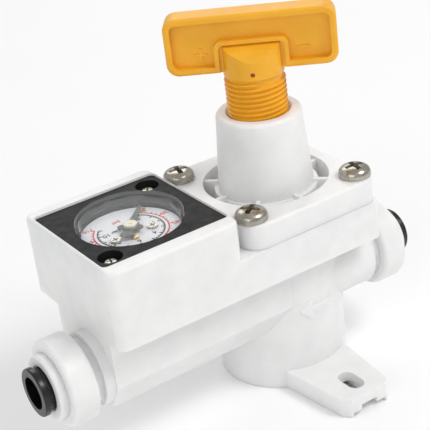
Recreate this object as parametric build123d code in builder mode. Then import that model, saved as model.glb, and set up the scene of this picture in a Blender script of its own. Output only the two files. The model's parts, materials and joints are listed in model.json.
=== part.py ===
from build123d import *
from math import cos, sin, radians, degrees
import os

# Plastic in-line pressure reducing valve with push-fit tube ports, a T-handle and a
# gauge set in the top of the body.  Millimetres, +Z up the adjusting screw, +X towards
# the inlet, origin in the base face on the adjusting-screw axis.

# ---- driving dimensions: ports --------------------------------------------------------
TUBE_BORE_R = 4.85          # collet's bore, for a 3/8 in (9.525 mm) tube
TUBE_SOCKET_R = 4.80        # bore that the tube's end sits in
PASSAGE_R = 4.0
PORT_Y, PORT_Z = -7.0, 31.0
OUTLET_FACE_X = -83.0       # front face of the outlet's big flange
INLET_FACE_X = 36.4
PORT_FLANGE_R, PORT_FLANGE_LEN = 13.2, 8.2
PORT_GROOVE_R, PORT_GROOVE_LEN = 9.9, 2.8
PORT_NECK_R = 11.2
PORT_BORE_R, PORT_BORE_DEPTH = 8.6, 11.0
TUBE_STOP_DEPTH = 17.0

# ---- driving dimensions: body ---------------------------------------------------------
BASE_R = 20.2
SLAB_BOTTOM_Z, SEAM_Z = 43.2, 55.3
SLAB_X0, SLAB_X1 = -69.0, 23.5
BODY_HALF_Y = 25.1
CORNER_R = 3.0
BOX_X1 = -26.5
BOX_TOP_Z = 67.6
GAUGE_X, GAUGE_Y = -47.45, 0.2
WELL_X, WELL_Y = 40.8, 41.4  # rectangular recess that takes the bezel plate
WELL_FLOOR_Z = 63.4
PLATE_T = 3.5
CAN_BORE_R, CAN_FLOOR_Z = 18.4, 46.6
BEZEL_SCREW_OFF = 15.2

LUG_TOP_Z, LUG_END_Y = 6.3, 42.5
LUG_ROOT_HALF, LUG_TIP_HALF = 12.4, 8.1
SLOT_Y, SLOT_W, SLOT_L = 34.3, 5.3, 9.5

# ---- driving dimensions: valve chambers -----------------------------------------------
CHAMBER_R, CHAMBER_FLOOR_Z = 13.5, 50.0
VALVE_BORE_R, VALVE_BORE_TOP_Z = 7.5, 38.5
SEAT_R, SEAT_TOP_Z, ORIFICE_R = 6.4, 42.0, 3.0
RISER_X, RISER_R = -8.6, 2.1
PLUG_THREAD_R, PLUG_TOP_Z = 9.0, 9.0
DIAPHRAGM_R, DIAPHRAGM_T = 20.6, 1.4

# ---- driving dimensions: bonnet and adjusting screw -----------------------------------
BONNET_X, BONNET_Y, BONNET_TOP_Z = 46.4, 49.6, 63.1
SCREW_PITCH = 38.0
POCKET_OUT_R, POCKET_IN_R, POCKET_FLOOR_Z = 19.1, 14.4, 57.6
POCKET_RIBS, RIB_W = 8, 1.3
COLLAR_TOP_R, COLLAR_TOP_Z = 12.7, 85.5
COLLAR_FOOT_R, COLLAR_FOOT_TOP_Z = 15.7, 61.4   # low ring where the ribs meet the collar
COUNTERSINK_R, COUNTERSINK_DEPTH = 9.87, 1.6
SCREW_CLEAR_R, SCREW_HOLE_R = 2.6, 2.15
HEAD_R, HEAD_H, RECESS_W = 4.85, 3.3, 6.0
SPRING_BORE_R, SPRING_BORE_TOP_Z = 9.7, 71.0
THREAD_PITCH = 1.5
MALE_CREST_R, MALE_ROOT_R = 9.0, 8.15
FEMALE_CREST_R = 8.35
THREAD_CLEAR = 0.14
SCREW_END_Z, THREAD_TOP_Z = 77.0, 96.9
SPRING_TOP_Z, SPRING_LOW_Z, SPRING_WIRE_R = SCREW_END_Z - 3.0, 57.6, 0.9

# ---- driving dimensions: handle -------------------------------------------------------
HANDLE_TURN = -37.0         # the T-bar's direction in plan at rest, degrees from +X
BAR_W, BAR_T = 49.4, 8.0
BAR_Z0, BAR_Z1 = 98.8, 116.0
BAR_CORNER_R, BAR_RIM, POCKET_DEPTH = 3.6, 1.9, 2.2
BOSS_R, BOSS_TOP_Z = 8.9, 106.7
FRAME_W, FRAME_TOP_Z = 21.4, 108.2
MOAT_W, MOAT_TOP_Z, MOAT_DEPTH = 18.9, 107.1, 1.0
DIMPLE_Z, DIMPLE_R = 99.2, 0.7

# ---- driving dimensions: gauge movement -----------------------------------------------
GEAR_MODULE = 0.3
PINION_TEETH, SECTOR_TEETH = 10, 60
CAN_R, CAN_TOP_Z, CAN_WALL = 18.1, 61.3, 1.1
LENS_R, LENS_TOP_Z, LENS_WALL = 15.7, 68.4, 1.0
DIAL_Z, DIAL_R = 63.2, 14.5
POINTER_Z, HUB_TOP_Z = 64.4, 65.7
ZERO_ANGLE = 47.0           # the pointer's direction at zero pressure
STOP_POST = (13.1, 52.0)    # radius and direction of the lens's post that stops the pointer
LENS_TABS = ((100, 20), (72, 21), (28, 28), (-8, 20))   # direction and width, degrees
TUBE_R = 14.2               # mean radius of the Bourdon tube
TUBE_START, TUBE_ARC = 99.4, 253.6
GEAR_Z, GEAR_T = 54.3, 1.2
PINION_R = GEAR_MODULE * PINION_TEETH / 2
SECTOR_R = GEAR_MODULE * SECTOR_TEETH / 2
CENTRE_DIST = PINION_R + SECTOR_R
SECTOR_DIR = -90.0          # direction from the pinion to the sector's pivot
PIVOT_X = GAUGE_X + CENTRE_DIST * cos(radians(SECTOR_DIR))
PIVOT_Y = GAUGE_Y + CENTRE_DIST * sin(radians(SECTOR_DIR))
TAIL_DIR, TAIL_R = -90.0, 3.4
LINK_DIR, LINK_LENGTH = 40.8, 17.0
PILLARS = ((-5.6, -13.8), (5.6, -13.8), (-3.0, 4.2), (3.0, 4.2))
DIAL_SCREWS = ((-6.6, -2.6), (5.6, -2.6))
MOVEMENT_SCREW = (-1.5, -4.6)
LOCATING_PIN = (9.2, 8.0)
PLATE_UNDER_DIAL_Z = 56.6

RECESS_ARM = 0.27           # a cross recess's arm width as a share of its span
FIT = 0.05                  # radial gap between pieces that are assembled and stay put


def save(piece, name):
    """Label a finished piece and write its STEP."""
    piece.part.label = name
    export_step(piece.part, f"parts/{name}.step")


def port_plane(face_x, depth, outward):
    """Plane across a port's axis, depth mm inside its flange face, looking outwards."""
    origin = (face_x - outward * depth, PORT_Y, PORT_Z)
    return Plane(origin=origin, x_dir=(0, 1, 0), z_dir=(outward, 0, 0))


def disc(plane, radius, length, mode=Mode.ADD):
    """Cylinder that starts on a plane."""
    with BuildSketch(plane) as outline:
        Circle(radius)
    extrude(outline.sketch, amount=length, mode=mode)


def ring(plane, outer, inner, length, mode=Mode.ADD):
    """Tube that starts on a plane."""
    with BuildSketch(plane) as outline:
        Circle(outer)
        Circle(inner, mode=Mode.SUBTRACT)
    extrude(outline.sketch, amount=length, mode=mode)


def torus_at(plane, major, minor):
    """O-ring about a plane's normal."""
    with Locations(plane):
        Torus(major, minor)


def thread_ridge(z_start, turns, root_r, crest_r, root_w, crest_w):
    """Helical ridge about Z; the same pitch and phase give threads that mesh."""
    start = Plane(origin=(0, 0, z_start))
    with BuildPart() as ridge:
        with BuildLine(start) as path:
            Helix(THREAD_PITCH, THREAD_PITCH * turns, root_r)
        with BuildSketch(Plane.XZ):
            with BuildLine():
                Polyline(
                    (root_r - 0.2, z_start - root_w / 2),
                    (root_r, z_start - root_w / 2),
                    (crest_r, z_start - crest_w / 2),
                    (crest_r, z_start + crest_w / 2),
                    (root_r, z_start + root_w / 2),
                    (root_r - 0.2, z_start + root_w / 2),
                    close=True,
                )
            make_face()
        sweep(path=path.wire(), is_frenet=True)
    return ridge.part


# ======================================================================================
# Body
# ======================================================================================
def body_outside():
    """Slab, gauge box, flow channel, base cylinder, ports and lugs, all one moulding."""
    mid_x = (SLAB_X0 + SLAB_X1) / 2
    with BuildSketch(Plane.XY.offset(SLAB_BOTTOM_Z)) as outline:
        with Locations((mid_x, 0)):
            RectangleRounded(SLAB_X1 - SLAB_X0, 2 * BODY_HALF_Y, CORNER_R)
    extrude(outline.sketch, amount=SEAM_Z - SLAB_BOTTOM_Z)
    with BuildSketch(Plane.XY.offset(SEAM_Z)) as outline:
        with Locations(((SLAB_X0 + BOX_X1) / 2, 0)):
            RectangleRounded(BOX_X1 - SLAB_X0, 2 * BODY_HALF_Y, CORNER_R - 0.01)
    extrude(outline.sketch, amount=BOX_TOP_Z - SEAM_Z)
    with BuildSketch(Plane.YZ.offset(SLAB_X0)) as outline:
        with BuildLine():
            Polyline(
                (-18.8, SLAB_BOTTOM_Z + 1),
                (-18.8, 28.6),
                (-14.0, 20.4),
                (6.9, 20.4),
                (11.8, 28.6),
                (11.8, SLAB_BOTTOM_Z + 1),
                close=True,
            )
        make_face()
    extrude(outline.sketch, amount=-SLAB_X0 - 6)
    disc(Plane.XY, BASE_R, SLAB_BOTTOM_Z + 1)
    for face_x, outward in ((OUTLET_FACE_X, -1), (INLET_FACE_X, 1)):
        reach = abs(face_x) - (abs(SLAB_X0) - 4 if outward < 0 else 8)
        disc(port_plane(face_x, PORT_FLANGE_LEN, outward), PORT_FLANGE_R, PORT_FLANGE_LEN)
        back = PORT_FLANGE_LEN + PORT_GROOVE_LEN
        disc(port_plane(face_x, reach, outward), PORT_NECK_R, reach - back)
        disc(port_plane(face_x, reach, outward), PORT_GROOVE_R, reach - 1)


def add_lugs():
    """Two lugs with slots for the mounting screws, cored out underneath."""
    for turn in (0, 180):
        base = Plane.XY.rotated((0, 0, turn))
        with BuildSketch(base) as outline:
            with BuildLine():
                Polyline(
                    (-LUG_ROOT_HALF, -8),
                    (-LUG_TIP_HALF - 0.4, -LUG_END_Y + 2.2),
                    (-LUG_TIP_HALF + 1.4, -LUG_END_Y),
                    (LUG_TIP_HALF - 1.4, -LUG_END_Y),
                    (LUG_TIP_HALF + 0.4, -LUG_END_Y + 2.2),
                    (LUG_ROOT_HALF, -8),
                    close=True,
                )
            make_face()
        extrude(outline.sketch, amount=LUG_TOP_Z)


def cut_lugs():
    """Slots and the stepped recess under each lug, open at the lug's end."""
    for turn in (0, 180):
        base = Plane.XY.rotated((0, 0, turn))
        with BuildSketch(base) as outline:
            with Locations((0, -(LUG_END_Y + 24.4) / 2 - 1)):
                Rectangle(12.2, LUG_END_Y - 24.4 + 2)
        extrude(outline.sketch, amount=1.3, mode=Mode.SUBTRACT)
        with BuildSketch(base) as outline:
            with Locations((0.0, -(LUG_END_Y + 26.0) / 2 - 1)):
                Rectangle(5.9, LUG_END_Y - 26.0 + 2)
        extrude(outline.sketch, amount=3.0, mode=Mode.SUBTRACT)
        with BuildSketch(base) as outline:
            with Locations((0, -SLOT_Y)):
                SlotOverall(SLOT_L, SLOT_W, rotation=90)
        extrude(outline.sketch, amount=LUG_TOP_Z, mode=Mode.SUBTRACT)


def cut_gauge_well():
    """Recess for the bezel plate, round well for the gauge, stem and screw holes."""
    with BuildSketch(Plane.XY.offset(WELL_FLOOR_Z)) as outline:
        with Locations((GAUGE_X, GAUGE_Y)):
            RectangleRounded(WELL_X, WELL_Y, 1.6)
    extrude(outline.sketch, amount=BOX_TOP_Z, mode=Mode.SUBTRACT)
    here = Plane(origin=(GAUGE_X, GAUGE_Y, 0))
    disc(here.offset(CAN_FLOOR_Z), CAN_BORE_R, 30, Mode.SUBTRACT)
    disc(here.offset(32.0), 4.6, 20, Mode.SUBTRACT)
    with BuildSketch(Plane.XY.offset(WELL_FLOOR_Z)) as outline:
        for sign in (-1, 1):
            with Locations((GAUGE_X + sign * BEZEL_SCREW_OFF, GAUGE_Y + sign * BEZEL_SCREW_OFF)):
                Circle(1.25)
    extrude(outline.sketch, amount=-9, mode=Mode.SUBTRACT)


def cut_chambers():
    """Chamber under the diaphragm, valve bore, seat bore and the flow passages."""
    disc(Plane.XY.offset(CHAMBER_FLOOR_Z), CHAMBER_R, 10, Mode.SUBTRACT)
    disc(Plane.XY.offset(SEAM_Z - DIAPHRAGM_T / 2), DIAPHRAGM_R + FIT, 1, Mode.SUBTRACT)
    disc(Plane.XY.offset(SEAT_TOP_Z - 1), 3.6, 10, Mode.SUBTRACT)
    disc(Plane.XY.offset(VALVE_BORE_TOP_Z - 1), SEAT_R + FIT, SEAT_TOP_Z - VALVE_BORE_TOP_Z + 1,
         Mode.SUBTRACT)
    disc(Plane.XY.offset(5), VALVE_BORE_R, VALVE_BORE_TOP_Z - 5, Mode.SUBTRACT)
    disc(Plane.XY, PLUG_THREAD_R + FIT, PLUG_TOP_Z, Mode.SUBTRACT)
    disc(Plane.XY, 11.0 + FIT, 3.0, Mode.SUBTRACT)
    disc(Plane(origin=(RISER_X, PORT_Y, PORT_Z)), RISER_R, 25, Mode.SUBTRACT)
    outlet_end = port_plane(OUTLET_FACE_X, 0, -1)
    disc(outlet_end, PASSAGE_R, OUTLET_FACE_X - RISER_X + 1, Mode.SUBTRACT)
    inlet_end = port_plane(INLET_FACE_X, 0, 1)
    disc(inlet_end, PASSAGE_R, -INLET_FACE_X + 3, Mode.SUBTRACT)


def cut_ports():
    """Seal bore and tube socket of both push-fit ports."""
    for face_x, outward in ((OUTLET_FACE_X, -1), (INLET_FACE_X, 1)):
        mouth = port_plane(face_x, PORT_BORE_DEPTH, outward)
        disc(mouth, PORT_BORE_R, PORT_BORE_DEPTH + 1, Mode.SUBTRACT)
        socket = port_plane(face_x, TUBE_STOP_DEPTH, outward)
        disc(socket, TUBE_SOCKET_R, TUBE_STOP_DEPTH, Mode.SUBTRACT)


def cut_screw_holes():
    """Blind holes for the four bonnet screws."""
    with BuildSketch(Plane.XY.offset(SEAM_Z)) as outline:
        with GridLocations(SCREW_PITCH, SCREW_PITCH, 2, 2):
            Circle(SCREW_HOLE_R)
    extrude(outline.sketch, amount=-11, mode=Mode.SUBTRACT)


def cut_base_cores():
    """Ring of eight mould cores under the base cylinder, with ribs between."""
    with BuildSketch(Plane.XY) as outline:
        for k in range(8):
            with Locations(Location((0, 0), 45 * k + 22.5)):
                with Locations((14.9, 0)):
                    RectangleRounded(4.4, 8.6, 1.2)
    extrude(outline.sketch, amount=15, mode=Mode.SUBTRACT)


def flow_arrow():
    """Raised arrow on the cylinder's front, pointing to the outlet."""
    with BuildPart() as arrow:
        with BuildSketch(Plane.XZ.offset(15)):
            with BuildLine():
                Polyline(
                    (-5.6, 26.0), (-1.6, 29.6), (-1.6, 27.0), (5.8, 27.0),
                    (5.8, 25.0), (-1.6, 25.0), (-1.6, 22.4), close=True,
                )
            make_face()
        extrude(amount=8)
        with BuildSketch(Plane.XY):
            Circle(BASE_R + 0.45)
        extrude(amount=SLAB_BOTTOM_Z, mode=Mode.INTERSECT)
    return arrow.part


def make_body():
    """Main moulding."""
    with BuildPart() as body:
        body_outside()
        add_lugs()
        add(flow_arrow())
        cut_gauge_well()
        cut_chambers()
        cut_ports()
        cut_screw_holes()
        cut_base_cores()
        cut_lugs()
        rim = body.edges().filter_by(GeomType.CIRCLE).filter_by(
            lambda e: abs(e.radius - PORT_FLANGE_R) < 0.01
        )
        fillet(rim, 1.2)
        top = body.faces().filter_by(Axis.Z).sort_by(Axis.Z)[-1]
        fillet(top.outer_wire().edges(), 1.2)
    save(body, "body")


# ======================================================================================
# Bonnet, screws, handle and range spring
# ======================================================================================
def make_bonnet():
    """Square cover with a ribbed ring pocket and the tall threaded collar."""
    with BuildPart() as bonnet:
        with BuildSketch(Plane.XY.offset(SEAM_Z)):
            RectangleRounded(BONNET_X, BONNET_Y, 5.0)
        extrude(amount=BONNET_TOP_Z - SEAM_Z)
        rim = bonnet.faces().sort_by(Axis.Z)[-1]
        fillet(rim.outer_wire().edges(), 0.9)
        ring(Plane.XY.offset(POCKET_FLOOR_Z), POCKET_OUT_R, POCKET_IN_R, 10, Mode.SUBTRACT)
        with BuildSketch(Plane.XY.offset(POCKET_FLOOR_Z)):
            for k in range(POCKET_RIBS):
                with Locations(Location((0, 0), 360 / POCKET_RIBS * k)):
                    with Locations(((POCKET_OUT_R + POCKET_IN_R) / 2, 0)):
                        Rectangle(POCKET_OUT_R - POCKET_IN_R + 0.8, RIB_W)
        extrude(amount=BONNET_TOP_Z - POCKET_FLOOR_Z - 0.8)
        with BuildSketch(Plane.XZ):
            with BuildLine():
                Polyline(
                    (0, POCKET_FLOOR_Z),
                    (POCKET_IN_R, POCKET_FLOOR_Z),
                    (POCKET_IN_R, BONNET_TOP_Z),
                    (COLLAR_TOP_R, COLLAR_TOP_Z),
                    (0, COLLAR_TOP_Z),
                    close=True,
                )
            make_face()
        revolve(axis=Axis.Z)
        disc(Plane.XY.offset(POCKET_FLOOR_Z), COLLAR_FOOT_R, COLLAR_FOOT_TOP_Z - POCKET_FLOOR_Z)
        lip = bonnet.edges().filter_by(GeomType.CIRCLE).sort_by(Axis.Z)[-1]
        fillet(lip, 1.3)
        disc(Plane.XY.offset(SEAM_Z), CHAMBER_R - 0.5, 5.4, Mode.SUBTRACT)
        disc(Plane.XY.offset(SEAM_Z), SPRING_BORE_R, SPRING_BORE_TOP_Z - SEAM_Z, Mode.SUBTRACT)
        disc(Plane.XY.offset(SEAM_Z), FEMALE_CREST_R, 40, Mode.SUBTRACT)
        disc(Plane.XY.offset(SEAM_Z), DIAPHRAGM_R + FIT, DIAPHRAGM_T / 2, Mode.SUBTRACT)
        with BuildSketch(Plane.XZ):
            with BuildLine():
                Polyline(
                    (0, COLLAR_TOP_Z - COUNTERSINK_DEPTH),
                    (FEMALE_CREST_R, COLLAR_TOP_Z - COUNTERSINK_DEPTH),
                    (COUNTERSINK_R, COLLAR_TOP_Z),
                    (COUNTERSINK_R, COLLAR_TOP_Z + 1),
                    (0, COLLAR_TOP_Z + 1),
                    close=True,
                )
            make_face()
        revolve(axis=Axis.Z, mode=Mode.SUBTRACT)
        groove_turns = 12
        groove_z = SCREW_END_Z - 4 * THREAD_PITCH
        add(
            thread_ridge(groove_z, groove_turns, FEMALE_CREST_R - 0.15,
                         MALE_CREST_R + THREAD_CLEAR, 1.42, 0.55),
            mode=Mode.SUBTRACT,
        )
        with BuildSketch(Plane.XY.offset(SEAM_Z - 1)):
            with GridLocations(SCREW_PITCH, SCREW_PITCH, 2, 2):
                Circle(SCREW_CLEAR_R)
        extrude(amount=20, mode=Mode.SUBTRACT)
    save(bonnet, "bonnet")


def phillips_recess(plane, width, depth):
    """Cross recess cut down from a plane."""
    with BuildSketch(plane) as outline:
        Rectangle(width, width * RECESS_ARM)
        Rectangle(width * RECESS_ARM, width)
    extrude(outline.sketch, amount=-depth, taper=12, mode=Mode.SUBTRACT)


def pan_head(radius, height, z):
    """Domed head of a pan-head screw standing on z, about the Z axis."""
    side = height * 0.45
    with BuildSketch(Plane.XZ) as outline:
        with BuildLine():
            Line((0, z), (radius, z))
            Line((radius, z), (radius, z + side * 0.5))
            Spline((radius, z + side * 0.5), (radius * 0.72, z + height * 0.86), (0, z + height),
                   tangents=((0, 1), (-1, 0)))
            Line((0, z + height), (0, z))
        make_face()
    revolve(outline.sketch, axis=Axis.Z)


def one_bonnet_screw():
    """Pan-head cross-recess screw, 5 mm nominal, for plastic."""
    with BuildPart() as screw:
        pan_head(HEAD_R, HEAD_H, BONNET_TOP_Z)
        disc(Plane.XY.offset(BONNET_TOP_Z + 0.1), SCREW_HOLE_R - FIT, -18.4)
        phillips_recess(Plane.XY.offset(BONNET_TOP_Z + HEAD_H + 0.1), RECESS_W, 2.6)
    return screw.part


def make_bonnet_screws():
    """The four identical screws."""
    source = one_bonnet_screw()
    with BuildPart() as bonnet_screws:
        for k, (sx, sy) in enumerate(((1, 1), (-1, 1), (-1, -1), (1, -1))):
            turned = source.rotate(Axis.Z, 31 + 47 * k)
            add(turned.translate((sx * SCREW_PITCH / 2, sy * SCREW_PITCH / 2, 0)))
    save(bonnet_screws, "bonnet_screws")


def bar_plane(offset=0.0):
    """Plane along the T-bar: local x along the bar, local y up."""
    a = radians(HANDLE_TURN)
    face = Plane(origin=(0, 0, 0), x_dir=(cos(a), sin(a), 0), z_dir=(sin(a), -cos(a), 0))
    return face.offset(offset)


def bar_pocket(side):
    """Recess in one face of the T-bar, round a raised frame over the boss."""
    mid = (BAR_Z0 + BAR_Z1) / 2
    face = bar_plane(side * BAR_T / 2)
    with BuildSketch(face) as outline:
        with Locations((0, mid)):
            RectangleRounded(BAR_W - 2 * BAR_RIM, BAR_Z1 - BAR_Z0 - 2 * BAR_RIM, 2.0)
        with Locations((0, (BAR_Z0 + FRAME_TOP_Z) / 2 - 1)):
            RectangleRounded(FRAME_W, FRAME_TOP_Z - BAR_Z0 + 2, 2.2, mode=Mode.SUBTRACT)
    extrude(outline.sketch, amount=-side * POCKET_DEPTH, mode=Mode.SUBTRACT)
    with BuildSketch(face) as outline:
        with Locations((0, (BAR_Z0 + MOAT_TOP_Z) / 2 - 2)):
            RectangleRounded(MOAT_W, MOAT_TOP_Z - BAR_Z0 + 4, 1.6)
    extrude(outline.sketch, amount=-side * MOAT_DEPTH, mode=Mode.SUBTRACT)


def bar_signs(side):
    """Raised plus and minus on the pocket floor."""
    floor = side * (BAR_T / 2 - POCKET_DEPTH)
    with BuildSketch(bar_plane().offset(floor)) as outline:
        with Locations((-14.6 * side, 104.2)):
            Rectangle(3.8, 0.7)
            Rectangle(0.7, 3.8)
        with Locations((14.9 * side, 104.0)):
            Rectangle(3.8, 0.7)
    extrude(outline.sketch, amount=side * 0.35)


def shank_and_boss():
    """Round shank that ends in a boss with a sloped top on both sides of the bar."""
    with BuildPart() as shank:
        disc(Plane.XY.offset(THREAD_TOP_Z + 0.5), BOSS_R, BOSS_TOP_Z - THREAD_TOP_Z)
        a = radians(HANDLE_TURN)
        across = Plane(origin=(0, 0, 0), x_dir=(sin(a), -cos(a), 0), z_dir=(-cos(a), -sin(a), 0))
        with BuildSketch(across) as outline:
            with BuildLine():
                Polyline(
                    (-9.2, THREAD_TOP_Z), (9.2, THREAD_TOP_Z), (9.2, 102.2), (8.0, 104.2),
                    (5.8, 105.7), (3.0, BOSS_TOP_Z), (-3.0, BOSS_TOP_Z), (-5.8, 105.7),
                    (-8.0, 104.2), (-9.2, 102.2), close=True,
                )
            make_face()
        extrude(outline.sketch, amount=BOSS_R + 1, both=True, mode=Mode.INTERSECT)
        with BuildSketch(Plane.XZ) as outline:
            with BuildLine():
                Polyline(
                    (0, SCREW_END_Z),
                    (MALE_ROOT_R, SCREW_END_Z),
                    (MALE_ROOT_R, THREAD_TOP_Z),
                    (BOSS_R, THREAD_TOP_Z + 0.5),
                    (BOSS_R, THREAD_TOP_Z + 1),
                    (0, THREAD_TOP_Z + 1),
                    close=True,
                )
            make_face()
        revolve(outline.sketch, axis=Axis.Z)
    return shank.part


def make_handle():
    """T-handle with its threaded shank, one moulding."""
    mid = (BAR_Z0 + BAR_Z1) / 2
    with BuildPart() as adjusting_handle:
        with BuildSketch(bar_plane()):
            with Locations((0, mid)):
                RectangleRounded(BAR_W, BAR_Z1 - BAR_Z0, BAR_CORNER_R)
        extrude(amount=BAR_T / 2, both=True)
        fillet(adjusting_handle.edges().filter_by(lambda e: e.length > 1.0
               and abs(abs(bar_plane().to_local_coords(e.center()).Z) - BAR_T / 2) < 0.01), 0.8)
        for side in (-1, 1):
            bar_pocket(side)
            bar_signs(side)
        add(shank_and_boss())
        turns = (THREAD_TOP_Z - SCREW_END_Z) / THREAD_PITCH - 0.6
        add(thread_ridge(SCREW_END_Z, turns, MALE_ROOT_R - 0.02, MALE_CREST_R, 1.12, 0.32))
        disc(Plane.XY.offset(SCREW_END_Z - 2), 12, 2, Mode.SUBTRACT)
        with BuildSketch(bar_plane(BOSS_R + 1)):
            with Locations((0, DIMPLE_Z)):
                Circle(DIMPLE_R)
        extrude(amount=-2.0, mode=Mode.SUBTRACT)
    save(adjusting_handle, "adjusting_handle")


def coil_spring(name, mean_r, wire_r, z_low, z_high, turns):
    """Compression spring, ground flat at both ends."""
    rise = (z_high - z_low) / turns
    with BuildPart() as spring:
        with BuildLine(Plane.XY.offset(z_low)) as path:
            Helix(rise, z_high - z_low, mean_r)
        with BuildSketch(Plane(origin=path.line @ 0, z_dir=path.line % 0)):
            Circle(wire_r)
        sweep(path=path.wire(), is_frenet=True)
        with BuildSketch(Plane.XY.offset(z_low + 0.02)):
            Circle(mean_r * 2)
        extrude(amount=z_high - z_low - 0.04, mode=Mode.INTERSECT)
    save(spring, name)


def make_upper_spring_seat():
    """Disc between the end of the adjusting screw and the range spring."""
    with BuildPart() as upper_spring_seat:
        disc(Plane.XY.offset(SPRING_TOP_Z), 7.9, 3.0)
        disc(Plane.XY.offset(SPRING_TOP_Z), 5.6, -2.0)
        chamfer(upper_spring_seat.edges().sort_by(Axis.Z)[-1], 0.5)
    save(upper_spring_seat, "upper_spring_seat")


# ======================================================================================
# Diaphragm and valve
# ======================================================================================
def make_diaphragm():
    """Rubber diaphragm, clamped at its rim between body and bonnet."""
    with BuildPart() as diaphragm:
        z0 = SEAM_Z - DIAPHRAGM_T / 2
        ring(Plane.XY.offset(z0 + 0.01), DIAPHRAGM_R, 2.75, DIAPHRAGM_T - 0.02)
        ring(Plane.XY.offset(z0 - 0.9), CHAMBER_R - 0.15, CHAMBER_R - 1.2, 1.0)
    save(diaphragm, "diaphragm")


def make_diaphragm_plate():
    """Dished plate that spreads the spring's load on the diaphragm."""
    with BuildPart() as diaphragm_plate:
        z0 = SEAM_Z + DIAPHRAGM_T / 2 + 0.01
        disc(Plane.XY.offset(z0), 11.6, SPRING_LOW_Z - z0)
        ring(Plane.XY.offset(SPRING_LOW_Z), 9.3, 8.0, 1.2)
        disc(Plane.XY.offset(z0 - 1), 2.75, 10, Mode.SUBTRACT)
    save(diaphragm_plate, "diaphragm_plate")


def make_diaphragm_stud():
    """Flanged stud under the diaphragm; its nose pushes the poppet open."""
    with BuildPart() as diaphragm_stud:
        z0 = SEAM_Z - DIAPHRAGM_T / 2
        disc(Plane.XY.offset(z0 - 1.6), 9.0, 1.6)
        disc(Plane.XY.offset(z0 - 0.5), 2.7, 9.0)
        disc(Plane.XY.offset(z0 - 4.6), 3.0, 3.4)
    save(diaphragm_stud, "diaphragm_stud")


def make_diaphragm_nut():
    """Hexagon nut that clamps plate and diaphragm on the stud."""
    with BuildPart() as diaphragm_nut:
        with BuildSketch(Plane.XY.offset(SPRING_LOW_Z + 0.01)):
            RegularPolygon(4.6, 6)
            Circle(2.75, mode=Mode.SUBTRACT)
        extrude(amount=3.2)
    save(diaphragm_nut, "diaphragm_nut")


def make_valve_seat():
    """Seat ring with a raised nose, pressed up into the body."""
    with BuildPart() as valve_seat:
        ring(Plane.XY.offset(VALVE_BORE_TOP_Z), SEAT_R, ORIFICE_R, SEAT_TOP_Z - VALVE_BORE_TOP_Z - 0.02)
        ring(Plane.XY.offset(VALVE_BORE_TOP_Z - 1.0), ORIFICE_R + 0.9, ORIFICE_R, 1.0)
    save(valve_seat, "valve_seat")


POPPET_TOP_Z = VALVE_BORE_TOP_Z - 1.0 - 1.2     # seal face, 1.2 mm open at rest


def make_poppet():
    """Poppet with its push stem up through the seat and four guide ribs."""
    with BuildPart() as valve_poppet:
        disc(Plane.XY.offset(POPPET_TOP_Z - 4.5), 5.4, 4.5)
        ring(Plane.XY.offset(POPPET_TOP_Z - 1.4), 4.6, 1.55, 1.4, Mode.SUBTRACT)
        stem_top = SEAM_Z - DIAPHRAGM_T / 2 - 4.6 - 0.02
        disc(Plane.XY.offset(POPPET_TOP_Z - 1.4), 1.5, stem_top - POPPET_TOP_Z + 1.4)
        for k in range(4):
            with BuildSketch(Plane.XY.offset(POPPET_TOP_Z - 9.5).rotated((0, 0, 90 * k + 45))):
                with Locations((6.1, 0)):
                    Rectangle(2.0, 1.4)
            extrude(amount=9.0)
        ring(Plane.XY.offset(POPPET_TOP_Z - 9.5), 7.1, 5.2, 5.0)
    save(valve_poppet, "valve_poppet")


def make_poppet_seal():
    """Rubber washer in the poppet's face."""
    with BuildPart() as poppet_seal:
        ring(Plane.XY.offset(POPPET_TOP_Z - 1.39), 4.55, 1.57, 1.39)
    save(poppet_seal, "poppet_seal")


def make_bottom_plug():
    """Plug that closes the valve bore from below, with two key holes, and its O-ring."""
    with BuildPart() as bottom_plug:
        disc(Plane.XY, 11.0, 3.0 - 0.02)
        disc(Plane.XY, PLUG_THREAD_R, PLUG_TOP_Z - 0.02)
        disc(Plane.XY, VALVE_BORE_R - 0.1, 14.0)
        ring(Plane.XY.offset(10.4), VALVE_BORE_R + 1, 6.1, 1.7, Mode.SUBTRACT)
        with BuildSketch(Plane.XY.offset(14.0)):
            Circle(5.0)
        extrude(amount=-6, mode=Mode.SUBTRACT)
        with BuildSketch(Plane.XY):
            with Locations((-6.5, 0), (6.5, 0)):
                Circle(1.2)
        extrude(amount=2.2, mode=Mode.SUBTRACT)
    save(bottom_plug, "bottom_plug")
    with BuildPart() as bottom_plug_oring:
        torus_at(Plane.XY.offset(11.25), 6.78, 0.66)
    save(bottom_plug_oring, "bottom_plug_oring")


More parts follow.
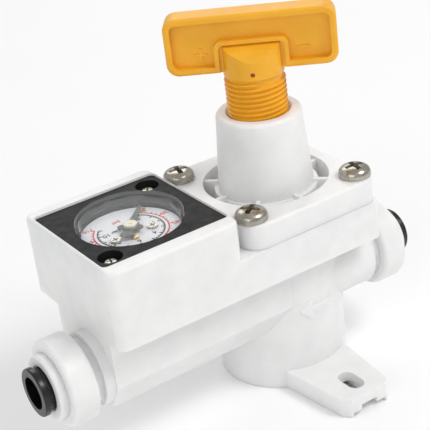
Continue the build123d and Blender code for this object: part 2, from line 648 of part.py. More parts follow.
# ======================================================================================
# Push-fit ports
# ======================================================================================
def make_port(side, face_x, outward):
    """Cap, collet, grab ring and tube seal of one port."""
    with BuildPart() as cap:
        ring(port_plane(face_x, 0, outward), 9.8, 6.45, 2.6)
        ring(port_plane(face_x, 6.4, outward), PORT_BORE_R - FIT, 7.95, 6.4)
        ring(port_plane(face_x, 1.5, outward), PORT_BORE_R - FIT, 6.45, 1.6)
        mouth = cap.edges().filter_by(GeomType.CIRCLE).filter_by(
            lambda e: abs(abs(e.center().X - face_x) - 2.6) < 0.01
        )
        chamfer(mouth, 0.5)
    save(cap, f"{side}_cap")
    with BuildPart() as collet:
        ring(port_plane(face_x, -4.0, outward), 7.25, TUBE_BORE_R, 2.0)
        ring(port_plane(face_x, 6.0, outward), 6.2, TUBE_BORE_R, 10.1)
        ring(port_plane(face_x, 6.0, outward), 7.5, TUBE_BORE_R, 3.0)
        ring(port_plane(face_x, 5.2, outward), 7.0, TUBE_BORE_R - 0.2, 0.5, Mode.SUBTRACT)
        for k in range(4):
            with BuildSketch(port_plane(face_x, 6.0, outward).rotated((90 * k + 45, 0, 0))):
                with Locations((6.3, 0)):
                    Rectangle(4.0, 0.9)
            extrude(amount=6.5, mode=Mode.SUBTRACT)
        lip = collet.edges().filter_by(GeomType.CIRCLE).filter_by(
            lambda e: abs(e.radius - 7.25) < 0.01
        )
        fillet(lip, 0.5)
    save(collet, f"{side}_collet")
    with BuildPart() as grab_ring:
        with BuildSketch(port_plane(face_x, 5.15, outward)):
            Circle(6.9)
            Circle(4.95, mode=Mode.SUBTRACT)
            for k in range(4):
                with Locations(Location((0, 0), 90 * k + 45)):
                    with Locations((6.3, 0)):
                        Rectangle(4.0, 1.3, mode=Mode.SUBTRACT)
        extrude(amount=0.4)
    save(grab_ring, f"{side}_grab_ring")
    with BuildPart() as tube_oring:
        torus_at(port_plane(face_x, 9.25, outward), 6.72, 1.72)
    save(tube_oring, f"{side}_tube_oring")


# ======================================================================================
# Gauge
# ======================================================================================
def gauge_plane(z=0.0):
    """Plane at height z with its origin on the gauge's axis."""
    return Plane(origin=(GAUGE_X, GAUGE_Y, z))


def make_gauge_case():
    """Deep-drawn round can."""
    with BuildPart() as gauge_case:
        disc(gauge_plane(CAN_FLOOR_Z + 0.1), CAN_R, CAN_TOP_Z - CAN_FLOOR_Z - 0.1)
        fillet(gauge_case.edges().sort_by(Axis.Z)[0], 1.0)
        disc(gauge_plane(CAN_FLOOR_Z + CAN_WALL), CAN_R - CAN_WALL, 30, Mode.SUBTRACT)
        disc(gauge_plane(CAN_FLOOR_Z - 1), 4.3, 5, Mode.SUBTRACT)
    save(gauge_case, "gauge_case")


def make_lens_gasket():
    """Rubber ring between the can's rim and the lens flange."""
    with BuildPart() as lens_gasket:
        ring(gauge_plane(CAN_TOP_Z + 0.01), CAN_R, CAN_R - 1.6, 0.6)
    save(lens_gasket, "lens_gasket")


def make_gauge_lens():
    """Clear cap through the bezel plate: flange, moulded tabs and the pointer's stop post."""
    inner = LENS_R - LENS_WALL
    under = LENS_TOP_Z - 1.3
    with BuildPart() as gauge_lens:
        flange_z = CAN_TOP_Z + 0.62
        ring(gauge_plane(flange_z), CAN_R, inner, WELL_FLOOR_Z - flange_z - 0.02)
        ring(gauge_plane(flange_z), LENS_R, inner, LENS_TOP_Z - flange_z)
        disc(gauge_plane(under), LENS_R, LENS_TOP_Z - under)
        fillet(gauge_lens.edges().sort_by(Axis.Z)[-1], 0.6)
        for direction, width in LENS_TABS:
            chord = 2 * inner * sin(radians(width / 2))
            reach = inner * cos(radians(width / 2))
            with BuildSketch(gauge_plane(under - 1.9).rotated((0, 0, direction))):
                with Locations((reach - 0.1, 0)):
                    Rectangle(1.1, chord)
            extrude(amount=2.0)
        radius, direction = STOP_POST
        with BuildSketch(gauge_plane(DIAL_Z + 0.4).rotated((0, 0, direction))):
            with Locations((radius, 0)):
                Circle(0.6)
        extrude(amount=under - DIAL_Z)
    save(gauge_lens, "gauge_lens")


def bezel_screw_places():
    """Centres of the two screws, in opposite corners of the plate."""
    off = BEZEL_SCREW_OFF
    return [(GAUGE_X + sign * off, GAUGE_Y + sign * off) for sign in (-1, 1)]


def make_bezel_plate():
    """Square black plate that holds the gauge down, with deep counterbores."""
    with BuildPart() as gauge_bezel_plate:
        with BuildSketch(Plane.XY.offset(WELL_FLOOR_Z)):
            with Locations((GAUGE_X, GAUGE_Y)):
                RectangleRounded(WELL_X - 0.3, WELL_Y - 0.3, 1.5)
                Circle(LENS_R + 0.15, mode=Mode.SUBTRACT)
        extrude(amount=PLATE_T)
        for x, y in bezel_screw_places():
            disc(Plane(origin=(x, y, WELL_FLOOR_Z + 0.9)), 3.6, 3, Mode.SUBTRACT)
            disc(Plane(origin=(x, y, WELL_FLOOR_Z - 1)), 1.35, 5, Mode.SUBTRACT)
    save(gauge_bezel_plate, "gauge_bezel_plate")


def make_bezel_screws():
    """Two small pan-head screws, sunk in the plate's counterbores."""
    with BuildPart() as one:
        pan_head(2.35, 1.4, 0.0)
        disc(Plane.XY, 1.2, -8.0)
        phillips_recess(Plane.XY.offset(1.45), 2.4, 1.0)
    with BuildPart() as bezel_screws:
        for turn, (x, y) in zip((-15, 55), bezel_screw_places()):
            add(one.part.rotate(Axis.Z, turn).translate((x, y, WELL_FLOOR_Z + 0.92)))
    save(bezel_screws, "bezel_screws")


def make_gauge_socket():
    """Brass stem and block that carries the pressure to the Bourdon tube."""
    with BuildPart() as gauge_socket:
        disc(gauge_plane(33.0), 4.2, CAN_FLOOR_Z + 1.2 - 33.0)
        ring(gauge_plane(37.0), 4.3, 3.3, 2.2, Mode.SUBTRACT)
        with BuildSketch(gauge_plane(CAN_FLOOR_Z + 1.2)):
            RectangleRounded(11.0, 9.0, 1.0)
        extrude(amount=2.4)
        with BuildSketch(gauge_plane(CAN_FLOOR_Z + 1.2)):
            with Locations((0, 9.6)):
                Rectangle(4.4, 13.4)
        extrude(amount=4.8)
        disc(gauge_plane(32.9), 1.2, 14.0, Mode.SUBTRACT)
    save(gauge_socket, "gauge_socket")


def make_gauge_stem_oring():
    """Seal on the gauge's stem."""
    with BuildPart() as gauge_stem_oring:
        torus_at(gauge_plane(38.1), 3.95, 0.62)
    save(gauge_stem_oring, "gauge_stem_oring")


def make_bourdon_tube():
    """Flattened tube bent round most of a circle, shut by a tip block."""
    axis = Axis((GAUGE_X, GAUGE_Y, 0), (0, 0, 1))
    a = radians(TUBE_START)
    section = Plane(origin=(GAUGE_X, GAUGE_Y, 0), x_dir=(cos(a), sin(a), 0),
                    z_dir=(sin(a), -cos(a), 0))
    with BuildPart() as bourdon_tube:
        with BuildSketch(section):
            with Locations((TUBE_R, 50.5)):
                RectangleRounded(1.3, 3.6, 0.6)
        revolve(axis=axis, revolution_arc=TUBE_ARC)
        a = radians(TUBE_START + TUBE_ARC)
        tip = Plane(origin=(GAUGE_X + TUBE_R * cos(a), GAUGE_Y + TUBE_R * sin(a), 48.6))
        with BuildSketch(tip.rotated((0, 0, degrees(a)))):
            Rectangle(1.9, 3.0)
        extrude(amount=3.8)
    save(bourdon_tube, "bourdon_tube")


def gear_teeth(centre, teeth, pitch_r, first, count):
    """Ring of separate teeth about a centre, as one part."""
    root_r = pitch_r - 1.2 * GEAR_MODULE
    tip_r = pitch_r + 0.85 * GEAR_MODULE
    with BuildPart() as rim:
        for k in range(count):
            turn = first + k * 360 / teeth
            with BuildSketch(Plane(origin=(*centre, GEAR_Z)).rotated((0, 0, turn))):
                with BuildLine():
                    Polyline(
                        (root_r - 0.25, -0.22), (tip_r, -0.09), (tip_r, 0.09),
                        (root_r - 0.25, 0.22), close=True,
                    )
                make_face()
            extrude(amount=GEAR_T)
    return rim.part


def make_pointer_shaft():
    """Arbor with its pinion; the pointer is pushed on its top end."""
    tooth_gap = 180.0 / PINION_TEETH
    with BuildPart() as pointer_shaft:
        disc(gauge_plane(52.4), 0.5, HUB_TOP_Z + 0.1 - 52.4)
        disc(gauge_plane(GEAR_Z), PINION_R - 1.2 * GEAR_MODULE, GEAR_T)
        add(gear_teeth((GAUGE_X, GAUGE_Y), PINION_TEETH, PINION_R,
                       SECTOR_DIR + tooth_gap, PINION_TEETH))
    save(pointer_shaft, "pointer_shaft")


def make_sector_gear():
    """Toothed sector with its tail, on its own arbor."""
    step = 360 / SECTOR_TEETH
    towards = SECTOR_DIR + 180
    before, after = 10, 3
    with BuildPart() as sector_gear:
        here = Plane(origin=(PIVOT_X, PIVOT_Y, 0))
        disc(here.offset(52.4), 0.6, 5.2)
        disc(here.offset(GEAR_Z), 1.8, GEAR_T)
        start = towards - before * step - step / 2
        arc = (before + after + 1) * step
        with BuildSketch(here.offset(GEAR_Z)):
            with BuildLine():
                a0, a1 = radians(start), radians(start + arc)
                rim_r = SECTOR_R - 1.2 * GEAR_MODULE
                p0 = (rim_r * cos(a0), rim_r * sin(a0))
                p1 = (rim_r * cos(a1), rim_r * sin(a1))
                am = (a0 + a1) / 2
                ThreePointArc(p0, (rim_r * cos(am), rim_r * sin(am)), p1)
                Line(p1, (0, 0))
                Line((0, 0), p0)
            make_face()
        extrude(amount=GEAR_T)
        add(gear_teeth((PIVOT_X, PIVOT_Y), SECTOR_TEETH, SECTOR_R,
                       towards - before * step, before + after + 1))
        with BuildSketch(here.offset(GEAR_Z).rotated((0, 0, TAIL_DIR))):
            with Locations((1.7, 0)):
                SlotOverall(5.0, 1.6)
        extrude(amount=GEAR_T)
        disc(link_pivot_plane(GEAR_Z - 0.85), 0.3, 1.0)
    save(sector_gear, "sector_gear")


def link_pivot_plane(z):
    """Plane on the pin in the sector's tail."""
    a = radians(TAIL_DIR)
    return Plane(origin=(PIVOT_X + TAIL_R * cos(a), PIVOT_Y + TAIL_R * sin(a), z))


def make_link():
    """Flat link from the sector's tail towards the tube's tip."""
    with BuildPart() as movement_link:
        with BuildSketch(link_pivot_plane(GEAR_Z - 0.75).rotated((0, 0, LINK_DIR))):
            with Locations((LINK_LENGTH / 2, 0)):
                SlotOverall(LINK_LENGTH + 1.4, 1.4)
            Circle(0.34, mode=Mode.SUBTRACT)
            with Locations((LINK_LENGTH, 0)):
                Circle(0.34, mode=Mode.SUBTRACT)
        extrude(amount=0.5)
    save(movement_link, "movement_link")


def movement_plate(name, z, thickness):
    """Brass plate of the movement, with a clear hole at each arbor and pillar."""
    with BuildPart() as plate:
        with BuildSketch(gauge_plane(z)):
            with BuildLine():
                Polyline((-6.6, -15.0), (6.6, -15.0), (8.4, -2.6), (4.4, 5.6), (-4.4, 5.6),
                         (-8.4, -2.6), close=True)
            make_face()
            Circle(0.55, mode=Mode.SUBTRACT)
            with Locations((0, -CENTRE_DIST)):
                Circle(0.65, mode=Mode.SUBTRACT)
            with Locations(*PILLARS):
                Circle(0.75, mode=Mode.SUBTRACT)
        extrude(amount=thickness)
    save(plate, name)


def spot_on_gauge(place, z=0.0):
    """Plane at height z with its origin at an offset from the gauge's axis."""
    return Plane(origin=(GAUGE_X + place[0], GAUGE_Y + place[1], z))


def make_movement_pillars():
    """Shouldered pillars between the two movement plates, and the dial's two posts."""
    post_z = PLATE_UNDER_DIAL_Z + 0.82
    with BuildPart() as movement_pillars:
        for place in PILLARS:
            disc(spot_on_gauge(place, 53.42), 1.2, 3.16)
            disc(spot_on_gauge(place, 52.62), 0.7, 4.7)
        for place in DIAL_SCREWS:
            ring(spot_on_gauge(place, post_z), 1.5, 0.75, DIAL_Z - 0.42 - post_z)
    save(movement_pillars, "movement_pillars")


def make_gauge_dial():
    """Printed disc on the movement's posts."""
    with BuildPart() as gauge_dial:
        disc(gauge_plane(DIAL_Z - 0.4), DIAL_R, 0.4)
        disc(gauge_plane(DIAL_Z - 2), 1.0, 5, Mode.SUBTRACT)
        for place in DIAL_SCREWS:
            disc(spot_on_gauge(place, DIAL_Z - 2), 0.75, 5, Mode.SUBTRACT)
        disc(spot_on_gauge(MOVEMENT_SCREW, DIAL_Z - 2), 1.25, 5, Mode.SUBTRACT)
        disc(spot_on_gauge(LOCATING_PIN, DIAL_Z - 2), 0.52, 5, Mode.SUBTRACT)
    save(gauge_dial, "gauge_dial")


def make_dial_screws():
    """Two cheese-head screws that hold the dial."""
    with BuildPart() as dial_screws:
        for place in DIAL_SCREWS:
            disc(spot_on_gauge(place, DIAL_Z + 0.01), 1.6, 0.8)
            disc(spot_on_gauge(place, DIAL_Z - 4), 0.7, 4.2)
            phillips_recess(spot_on_gauge(place, DIAL_Z + 0.83), 1.9, 0.5)
    save(dial_screws, "dial_screws")


def make_movement_screw():
    """Slotted brass screw on the top plate that reaches up through the dial."""
    with BuildPart() as movement_screw:
        disc(spot_on_gauge(MOVEMENT_SCREW, PLATE_UNDER_DIAL_Z + 0.82), 1.15, 6.5)
        with BuildSketch(spot_on_gauge(MOVEMENT_SCREW, DIAL_Z + 1).rotated((0, 0, 30))):
            Rectangle(3, 0.45)
        extrude(amount=-0.9, mode=Mode.SUBTRACT)
    save(movement_screw, "movement_screw")


def make_locating_pin():
    """Short pin that fixes the dial's angle; the pointer passes over it."""
    with BuildPart() as dial_locating_pin:
        disc(spot_on_gauge(LOCATING_PIN, DIAL_Z - 0.4), 0.5, 1.2)
    save(dial_locating_pin, "dial_locating_pin")


def make_pointer():
    """Slim pointer with a winged counterweight."""
    with BuildPart() as gauge_pointer:
        with BuildSketch(gauge_plane(POINTER_Z).rotated((0, 0, ZERO_ANGLE))):
            with BuildLine():
                Polyline((0, -1.35), (13.0, -0.42), (13.4, 0), (13.0, 0.42), (0, 1.35), close=True)
            make_face()
            with BuildLine():
                Polyline((0.4, -1.6), (-3.2, -1.5), (-5.2, -2.0), (-6.6, 0), (-5.2, 2.0),
                         (-3.2, 1.5), (0.4, 1.6), close=True)
            make_face()
            with Locations((-0.4, -2.6), (-0.4, 2.6)):
                Circle(1.2)
            Circle(2.7)
            Circle(0.52, mode=Mode.SUBTRACT)
        extrude(amount=0.35)
    save(gauge_pointer, "gauge_pointer")


def make_pointer_hub():
    """Turned bush that the pointer is riveted to."""
    low = POINTER_Z + 0.36
    with BuildPart() as pointer_hub:
        disc(gauge_plane(low), 2.2, HUB_TOP_Z - low)
        fillet(pointer_hub.edges().sort_by(Axis.Z)[-1], 0.35)
        disc(gauge_plane(DIAL_Z), 0.52, 5, Mode.SUBTRACT)
    save(pointer_hub, "pointer_hub")


def main():
    os.makedirs("parts", exist_ok=True)
    make_body()
    make_bonnet()
    make_bonnet_screws()
    make_handle()
    make_upper_spring_seat()
    coil_spring("range_spring", 6.7, SPRING_WIRE_R, SPRING_LOW_Z, SPRING_TOP_Z, 6)
    make_diaphragm()
    make_diaphragm_plate()
    make_diaphragm_stud()
    make_diaphragm_nut()
    make_valve_seat()
    make_poppet()
    make_poppet_seal()
    coil_spring("poppet_spring", 4.1, 0.45, 8.0, POPPET_TOP_Z - 4.5, 8)
    make_bottom_plug()
    make_port("outlet", OUTLET_FACE_X, -1)
    make_port("inlet", INLET_FACE_X, 1)
    make_gauge_case()
    make_lens_gasket()
    make_gauge_lens()
    make_bezel_plate()
    make_bezel_screws()
    make_gauge_socket()
    make_gauge_stem_oring()
    make_bourdon_tube()
    make_pointer_shaft()
    make_sector_gear()
    make_link()
    movement_plate("movement_bottom_plate", 52.6, 0.8)
    movement_plate("movement_top_plate", PLATE_UNDER_DIAL_Z, 0.8)
    make_movement_pillars()
    make_gauge_dial()
    make_dial_screws()
    make_movement_screw()
    make_locating_pin()
    make_pointer()
    make_pointer_hub()


main()
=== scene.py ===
import json
from math import cos, sin, pi, radians

import bmesh
import bpy
from mathutils import Matrix, Vector


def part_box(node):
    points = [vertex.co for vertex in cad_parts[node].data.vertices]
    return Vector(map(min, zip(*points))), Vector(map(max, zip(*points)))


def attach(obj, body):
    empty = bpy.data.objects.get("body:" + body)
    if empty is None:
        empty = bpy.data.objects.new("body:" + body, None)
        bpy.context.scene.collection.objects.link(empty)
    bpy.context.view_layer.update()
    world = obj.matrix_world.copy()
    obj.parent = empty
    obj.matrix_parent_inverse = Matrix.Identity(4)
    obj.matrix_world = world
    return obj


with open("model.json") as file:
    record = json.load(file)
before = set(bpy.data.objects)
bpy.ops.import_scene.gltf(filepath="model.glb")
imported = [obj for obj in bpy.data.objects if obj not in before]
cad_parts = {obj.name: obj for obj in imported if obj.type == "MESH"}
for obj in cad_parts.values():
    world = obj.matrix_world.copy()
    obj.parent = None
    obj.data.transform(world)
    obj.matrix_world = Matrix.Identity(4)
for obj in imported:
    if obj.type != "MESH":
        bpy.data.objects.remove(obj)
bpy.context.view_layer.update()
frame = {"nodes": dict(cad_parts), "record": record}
NODES = frame["nodes"]
ROOT = "valve_body"

MM = 0.001
NOISE_LOW, NOISE_HIGH = 0.3, 0.7    # most of a noise texture's values lie between these


# ---- materials ------------------------------------------------------------------------
class Shader:
    """A Principled material with small helpers for its node tree."""

    def __init__(self, name, color, rough, metal=0.0, **sockets):
        self.mat = bpy.data.materials.new(name)
        self.mat.use_nodes = True
        self.tree = self.mat.node_tree
        self.bsdf = self.tree.nodes["Principled BSDF"]
        self.put("Base Color", (*color, 1.0))
        self.put("Roughness", rough)
        self.put("Metallic", metal)
        for key, value in sockets.items():
            self.put(key.replace("_", " "), value)
        self.coord = self.tree.nodes.new("ShaderNodeTexCoord").outputs["Object"]
        self.height = None

    def put(self, socket, value):
        self.bsdf.inputs[socket].default_value = value

    def node(self, kind, **values):
        made = self.tree.nodes.new(kind)
        for key, value in values.items():
            if key in made.inputs:
                made.inputs[key].default_value = value
            else:
                setattr(made, key, value)
        return made

    def link(self, a, b):
        self.tree.links.new(a, b)

    def noise(self, scale, detail=3.0):
        tex = self.node("ShaderNodeTexNoise", Scale=scale, Detail=detail)
        self.link(self.coord, tex.inputs["Vector"])
        return tex.outputs["Fac"]

    def span(self, fac, low, high, start=0.0, end=1.0):
        """fac from start..end mapped to low..high."""
        made = self.node("ShaderNodeMapRange")
        self.link(fac, made.inputs["Value"])
        for key, value in (("From Min", start), ("From Max", end), ("To Min", low), ("To Max", high)):
            made.inputs[key].default_value = value
        return made.outputs["Result"]

    def vary_rough(self, scale, low, high):
        varied = self.span(self.noise(scale), low, high, NOISE_LOW, NOISE_HIGH)
        self.link(varied, self.bsdf.inputs["Roughness"])

    def vary_color(self, scale, dark, light):
        ramp = self.node("ShaderNodeValToRGB")
        ramp.color_ramp.elements[0].position = NOISE_LOW
        ramp.color_ramp.elements[1].position = NOISE_HIGH
        ramp.color_ramp.elements[0].color = (*dark, 1.0)
        ramp.color_ramp.elements[1].color = (*light, 1.0)
        self.link(self.noise(scale), ramp.inputs["Fac"])
        self.link(ramp.outputs["Color"], self.bsdf.inputs["Base Color"])

    def bump(self, fac, strength, distance):
        made = self.node("ShaderNodeBump", Strength=strength, Distance=distance)
        self.link(fac, made.inputs["Height"])
        if self.height:
            self.link(self.height, made.inputs["Normal"])
        self.height = made.outputs["Normal"]
        self.link(self.height, self.bsdf.inputs["Normal"])


def white_plastic():
    s = Shader("white_plastic", (0.83, 0.83, 0.825), 0.38, Subsurface_Weight=0.40,
               Subsurface_Scale=0.004, Specular_IOR_Level=0.45)
    s.put("Subsurface Radius", (1.0, 0.9, 0.8))
    s.vary_color(160, (0.79, 0.79, 0.787), (0.84, 0.84, 0.835))
    s.vary_rough(260, 0.34, 0.46)
    s.bump(s.noise(900, 2), 0.10, 0.0002)
    s.bump(s.noise(60, 2), 0.10, 0.0006)
    return s.mat


def handle_plastic():
    s = Shader("handle_plastic", (0.855, 0.425, 0.02), 0.36, Subsurface_Weight=0.15,
               Subsurface_Scale=0.0015, Specular_IOR_Level=0.38)
    s.put("Subsurface Radius", (1.0, 0.45, 0.1))
    s.vary_color(140, (0.83, 0.40, 0.016), (0.88, 0.45, 0.024))
    s.vary_rough(240, 0.30, 0.42)
    s.bump(s.noise(800, 2), 0.10, 0.0002)
    return s.mat


def black_plastic():
    s = Shader("black_plastic", (0.010, 0.010, 0.011), 0.5, Specular_IOR_Level=0.22)
    s.vary_rough(300, 0.5, 0.64)
    s.vary_color(500, (0.007, 0.007, 0.008), (0.014, 0.014, 0.015))
    s.bump(s.noise(1500, 3), 0.25, 0.0002)
    return s.mat


def gloss_black():
    s = Shader("gloss_black_plastic", (0.005, 0.005, 0.006), 0.25)
    s.vary_color(300, (0.004, 0.004, 0.005), (0.007, 0.007, 0.008))
    s.vary_rough(400, 0.2, 0.32)
    s.bump(s.noise(700, 2), 0.08, 0.0002)
    return s.mat


def rubber():
    s = Shader("rubber_black", (0.02, 0.02, 0.02), 0.7)
    s.vary_rough(500, 0.62, 0.8)
    s.bump(s.noise(1200, 3), 0.2, 0.0002)
    return s.mat


def screw_steel():
    s = Shader("screw_steel", (0.42, 0.39, 0.34), 0.24, metal=1.0)
    s.vary_color(350, (0.35, 0.325, 0.28), (0.49, 0.46, 0.405))
    s.vary_rough(700, 0.17, 0.34)
    s.bump(s.noise(1600, 3), 0.12, 0.0001)
    return s.mat


def spring_steel():
    s = Shader("spring_steel", (0.5, 0.5, 0.5), 0.3, metal=1.0)
    s.vary_rough(800, 0.24, 0.4)
    s.bump(s.noise(2200, 2), 0.1, 0.0001)
    return s.mat


def brass():
    s = Shader("brass", (0.72, 0.52, 0.23), 0.28, metal=1.0)
    s.vary_color(500, (0.66, 0.46, 0.19), (0.78, 0.58, 0.28))
    s.vary_rough(900, 0.22, 0.38)
    s.bump(s.noise(1800, 2), 0.1, 0.0001)
    return s.mat


def bronze():
    s = Shader("bourdon_bronze", (0.62, 0.38, 0.2), 0.35, metal=1.0)
    s.vary_color(300, (0.55, 0.33, 0.16), (0.68, 0.43, 0.24))
    s.vary_rough(600, 0.28, 0.45)
    return s.mat


def can_grey():
    s = Shader("can_grey", (0.075, 0.077, 0.08), 0.42)
    s.vary_rough(500, 0.36, 0.5)
    s.vary_color(300, (0.065, 0.067, 0.07), (0.088, 0.09, 0.093))
    s.bump(s.noise(900, 2), 0.1, 0.0001)
    return s.mat


def clear_plastic():
    s = Shader("clear_plastic", (0.76, 0.78, 0.79), 0.05, IOR=1.5)
    s.vary_rough(120, 0.03, 0.09)
    s.bump(s.noise(90, 2), 0.05, 0.0003)
    facing = s.node("ShaderNodeLayerWeight", Blend=0.35).outputs["Facing"]
    s.link(s.span(facing, 0.06, 0.90, 0.50, 1.0), s.bsdf.inputs["Alpha"])
    return s.mat


def dial_white():
    s = Shader("dial_white", (0.80, 0.82, 0.86), 0.55)
    s.vary_color(120, (0.78, 0.80, 0.845), (0.82, 0.84, 0.87))
    s.vary_rough(500, 0.5, 0.62)
    return s.mat


def ink(name, color):
    s = Shader(name, color, 0.55)
    lighter = tuple(min(1.0, c * 1.25 + 0.01) for c in color)
    s.vary_color(1500, color, lighter)
    return s.mat


def pointer_paint():
    s = Shader("pointer_paint", (0.075, 0.088, 0.082), 0.5)
    s.vary_color(700, (0.065, 0.078, 0.072), (0.09, 0.104, 0.098))
    s.vary_rough(900, 0.42, 0.58)
    return s.mat


def hub_cream():
    s = Shader("hub_metal", (0.62, 0.60, 0.50), 0.38, metal=0.55)
    s.vary_rough(900, 0.3, 0.48)
    s.bump(s.noise(1500, 2), 0.15, 0.0001)
    return s.mat


MATS = {
    "white_plastic": white_plastic(),
    "handle_plastic": handle_plastic(),
    "black_plastic": black_plastic(),
    "black_acetal": gloss_black(),
    "clear_plastic": clear_plastic(),
    "rubber_black": rubber(),
    "screw_steel": screw_steel(),
    "spring_steel": spring_steel(),
    "brass_parts": brass(),
    "bourdon_bronze": bronze(),
    "can_steel": can_grey(),
    "dial_white": dial_white(),
    "pointer_black": pointer_paint(),
}
INK_RED = ink("ink_red", (0.62, 0.04, 0.035))
INK_BLACK = ink("ink_black", (0.02, 0.02, 0.025))
HUB = hub_cream()


def dress_nodes():
    """Each CAD node gets its slot's material."""
    for entry in frame["record"]["subparts"]:
        mesh = NODES[entry["node"]].data
        mesh.materials.clear()
        mesh.materials.append(MATS[entry["material_slot"]])
    for name in ("outlet_collet", "inlet_collet"):
        NODES[name].data.materials[0] = MATS["black_acetal"]
    NODES["pointer_hub"].data.materials[0] = HUB


dress_nodes()


# ---- dial print -----------------------------------------------------------------------
def middle(node):
    """Centre of a node's box at rest, and its top."""
    low, high = (Vector(c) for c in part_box(node))
    return (low + high) / 2, high.z


DIAL_MID, DIAL_TOP = middle("gauge_dial")
ZERO, SWEEP = 45.0, 270.0
INK_T = 0.03 * MM
LETTER_WEIGHT = 0.05 * MM
ARC_W, TICK_W, LONG_TICK_W = 0.42, 0.34, 0.50


def polar(radius, degrees):
    a = radians(degrees)
    return Vector((radius * cos(a), radius * sin(a)))


def slab_of(bm, outline):
    """Thin closed slab with the given outline, lying on the dial."""
    low = [bm.verts.new((x, y, 0)) for x, y in outline]
    high = [bm.verts.new((x, y, INK_T)) for x, y in outline]
    bm.faces.new(low[::-1])
    bm.faces.new(high)
    for k in range(len(outline)):
        n = (k + 1) % len(outline)
        bm.faces.new((low[k], low[n], high[n], high[k]))


def tick(bm, degrees, r0, r1, width):
    along, across = polar(1, degrees), polar(1, degrees + 90) * width / 2
    slab_of(bm, [along * r0 - across, along * r1 - across, along * r1 + across, along * r0 + across])


def arc_line(bm, start, sweep, radius, width, steps=120):
    """Arc that runs clockwise from start."""
    inner = [polar(radius - width / 2, start - sweep * k / steps) for k in range(steps + 1)]
    outer = [polar(radius + width / 2, start - sweep * k / steps) for k in range(steps + 1)]
    for k in range(steps):
        slab_of(bm, [inner[k + 1], outer[k + 1], outer[k], inner[k]])
    bmesh.ops.remove_doubles(bm, verts=bm.verts, dist=1e-7)


def letters(bm, text, place, size):
    """Text that reads from the far (+Y) side, centred on a place on the dial."""
    curve = bpy.data.curves.new("letters", "FONT")
    curve.body = text
    curve.size = size
    curve.align_x = "CENTER"
    curve.align_y = "CENTER"
    curve.extrude = INK_T / 2
    curve.offset = LETTER_WEIGHT
    holder = bpy.data.objects.new("letters", curve)
    bpy.context.scene.collection.objects.link(holder)
    bpy.context.view_layer.update()
    mesh = bpy.data.meshes.new_from_object(holder.evaluated_get(bpy.context.evaluated_depsgraph_get()))
    mesh.transform(Matrix.Translation((place.x, place.y, INK_T / 2)) @ Matrix.Rotation(pi, 4, "Z"))
    bm.from_mesh(mesh)
    bpy.data.objects.remove(holder)


def print_scale(name, ink_mat, top, step, long_step, radius, lengths, numbers, number_r, size, extra):
    """One printed scale: arc, ticks, numbers and its unit."""
    bm = bmesh.new()
    arc_line(bm, ZERO, SWEEP, radius * MM, ARC_W * MM)
    for k in range(int(round(top / step)) + 1):
        value = k * step
        long = abs(value / long_step - round(value / long_step)) < 1e-6
        reach = radius + lengths[1 if long else 0]
        width = LONG_TICK_W if long else TICK_W
        tick(bm, ZERO - SWEEP * value / top, radius * MM, reach * MM, width * MM)
    for value in numbers:
        letters(bm, str(value), polar(number_r * MM, ZERO - SWEEP * value / top), size * MM)
    for text, x, y, text_size in extra:
        letters(bm, text, Vector((x, y)) * MM, text_size * MM)
    mesh = bpy.data.meshes.new(name)
    bmesh.ops.recalc_face_normals(bm, faces=bm.faces)
    bm.to_mesh(mesh)
    bm.free()
    mesh.materials.append(ink_mat)
    piece = bpy.data.objects.new(name, mesh)
    piece.location = (DIAL_MID.x, DIAL_MID.y, DIAL_TOP)
    bpy.context.scene.collection.objects.link(piece)
    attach(piece, ROOT)


print_scale("dial_print_psi", INK_RED, 160, 5, 20, 10.9, (0.75, 1.25), range(0, 161, 20), 13.0, 2.2,
            [("psi", -0.6, 7.6, 2.4)])
print_scale("dial_print_bar", INK_BLACK, 11, 0.25, 1, 9.7, (-0.55, -1.1), range(0, 11, 2), 7.2, 2.5,
            [("bar", -3.6, 2.8, 2.2)])


GATE_DIRECTION = -37.0      # the T-bar's direction in plan; the dimple faces square to it
GATE_FLOOR_R, GATE_Z = 7.96, 99.2
GATE_R, GATE_T = 0.62, 0.08


def gate_mark():
    """Darker dot left by the mould's gate, in the dimple of the handle's shank."""
    turn = radians(GATE_DIRECTION)
    out = Vector((sin(turn), -cos(turn), 0))
    bm = bmesh.new()
    bmesh.ops.create_cone(bm, cap_ends=True, segments=32, radius1=GATE_R * MM,
                          radius2=GATE_R * MM, depth=GATE_T * MM)
    mesh = bpy.data.meshes.new("gate_mark")
    bm.to_mesh(mesh)
    bm.free()
    mesh.materials.append(ink("gate_mark", (0.55, 0.07, 0.01)))
    piece = bpy.data.objects.new("gate_mark", mesh)
    place = Matrix.Translation(out * GATE_FLOOR_R * MM + Vector((0, 0, GATE_Z * MM)))
    piece.matrix_world = place @ out.to_track_quat("Z", "Y").to_matrix().to_4x4()
    bpy.context.scene.collection.objects.link(piece)
    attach(piece, "handle")


gate_mark()


# ---- camera, lights and floor ----------------------------------------------------------
CAMERA_AZ, CAMERA_EL, CAMERA_ROLL = -30.94, 26.86, -7.38
CAMERA_TARGET = Vector((0, 0, 0.040))
CAMERA_DISTANCE, SHIFT_RIGHT, SHIFT_UP = 0.39564, -0.0179, 0.0089
LENS_MM, SENSOR_MM = 106.97, 36.0
AIM = (0, 0, 0.04)          # what every light points at
LIGHTS = (                  # name, place, size and power
    ("key", (0.38, -0.50, 0.85), (0.40, 0.40), 4.4),
    ("fill", (-0.75, -0.4, 0.45), (0.6, 0.6), 1.6),
    ("back", (0.3, 0.8, 0.7), (0.7, 0.5), 2.2),
)
WORLD_STRENGTH = 0.57
FLOOR_HALF = 3.0


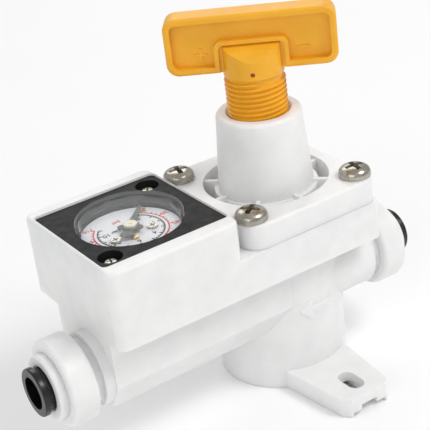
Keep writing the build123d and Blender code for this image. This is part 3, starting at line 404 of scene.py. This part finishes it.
def look_axes(azimuth, elevation, roll):
    """The camera's right, up and backward directions."""
    a, e, r = radians(azimuth), radians(elevation), radians(roll)
    back = Vector((sin(a) * cos(e), -cos(a) * cos(e), sin(e)))
    right = Vector((0, 0, 1)).cross(back).normalized()
    up = back.cross(right)
    return cos(r) * right + sin(r) * up, -sin(r) * right + cos(r) * up, back


def make_camera():
    right, up, back = look_axes(CAMERA_AZ, CAMERA_EL, CAMERA_ROLL)
    data = bpy.data.cameras.new("camera")
    data.sensor_width = SENSOR_MM
    data.lens = LENS_MM
    camera = bpy.data.objects.new("camera", data)
    place = CAMERA_TARGET + CAMERA_DISTANCE * back + SHIFT_RIGHT * right + SHIFT_UP * up
    turn = Matrix((right, up, back)).transposed().to_4x4()
    camera.matrix_world = Matrix.Translation(place) @ turn
    bpy.context.scene.collection.objects.link(camera)
    bpy.context.scene.camera = camera


def area_light(name, place, size, power):
    data = bpy.data.lights.new(name, "AREA")
    data.shape = "RECTANGLE"
    data.size, data.size_y = size
    data.energy = power
    lamp = bpy.data.objects.new(name, data)
    lamp.location = place
    lamp.rotation_euler = (Vector(AIM) - Vector(place)).to_track_quat("-Z", "Y").to_euler()
    bpy.context.scene.collection.objects.link(lamp)


def make_stage():
    """Pale floor and soft studio light."""
    size = FLOOR_HALF
    mesh = bpy.data.meshes.new("floor")
    corners = [(-size, -size, 0), (size, -size, 0), (size, size, 0), (-size, size, 0)]
    mesh.from_pydata(corners, [], [(0, 1, 2, 3)])
    floor = bpy.data.objects.new("floor", mesh)
    bpy.context.scene.collection.objects.link(floor)
    s = Shader("floor", (0.95, 0.95, 0.95), 0.8)
    s.vary_color(3, (0.94, 0.94, 0.94), (0.97, 0.97, 0.97))
    mesh.materials.append(s.mat)
    world = bpy.data.worlds.new("world")
    world.use_nodes = True
    world.node_tree.nodes["Background"].inputs["Color"].default_value = (1, 1, 1, 1)
    world.node_tree.nodes["Background"].inputs["Strength"].default_value = WORLD_STRENGTH
    bpy.context.scene.world = world
    bpy.context.scene.view_settings.view_transform = "Standard"
    for light in LIGHTS:
        area_light(*light)


make_camera()
make_stage()
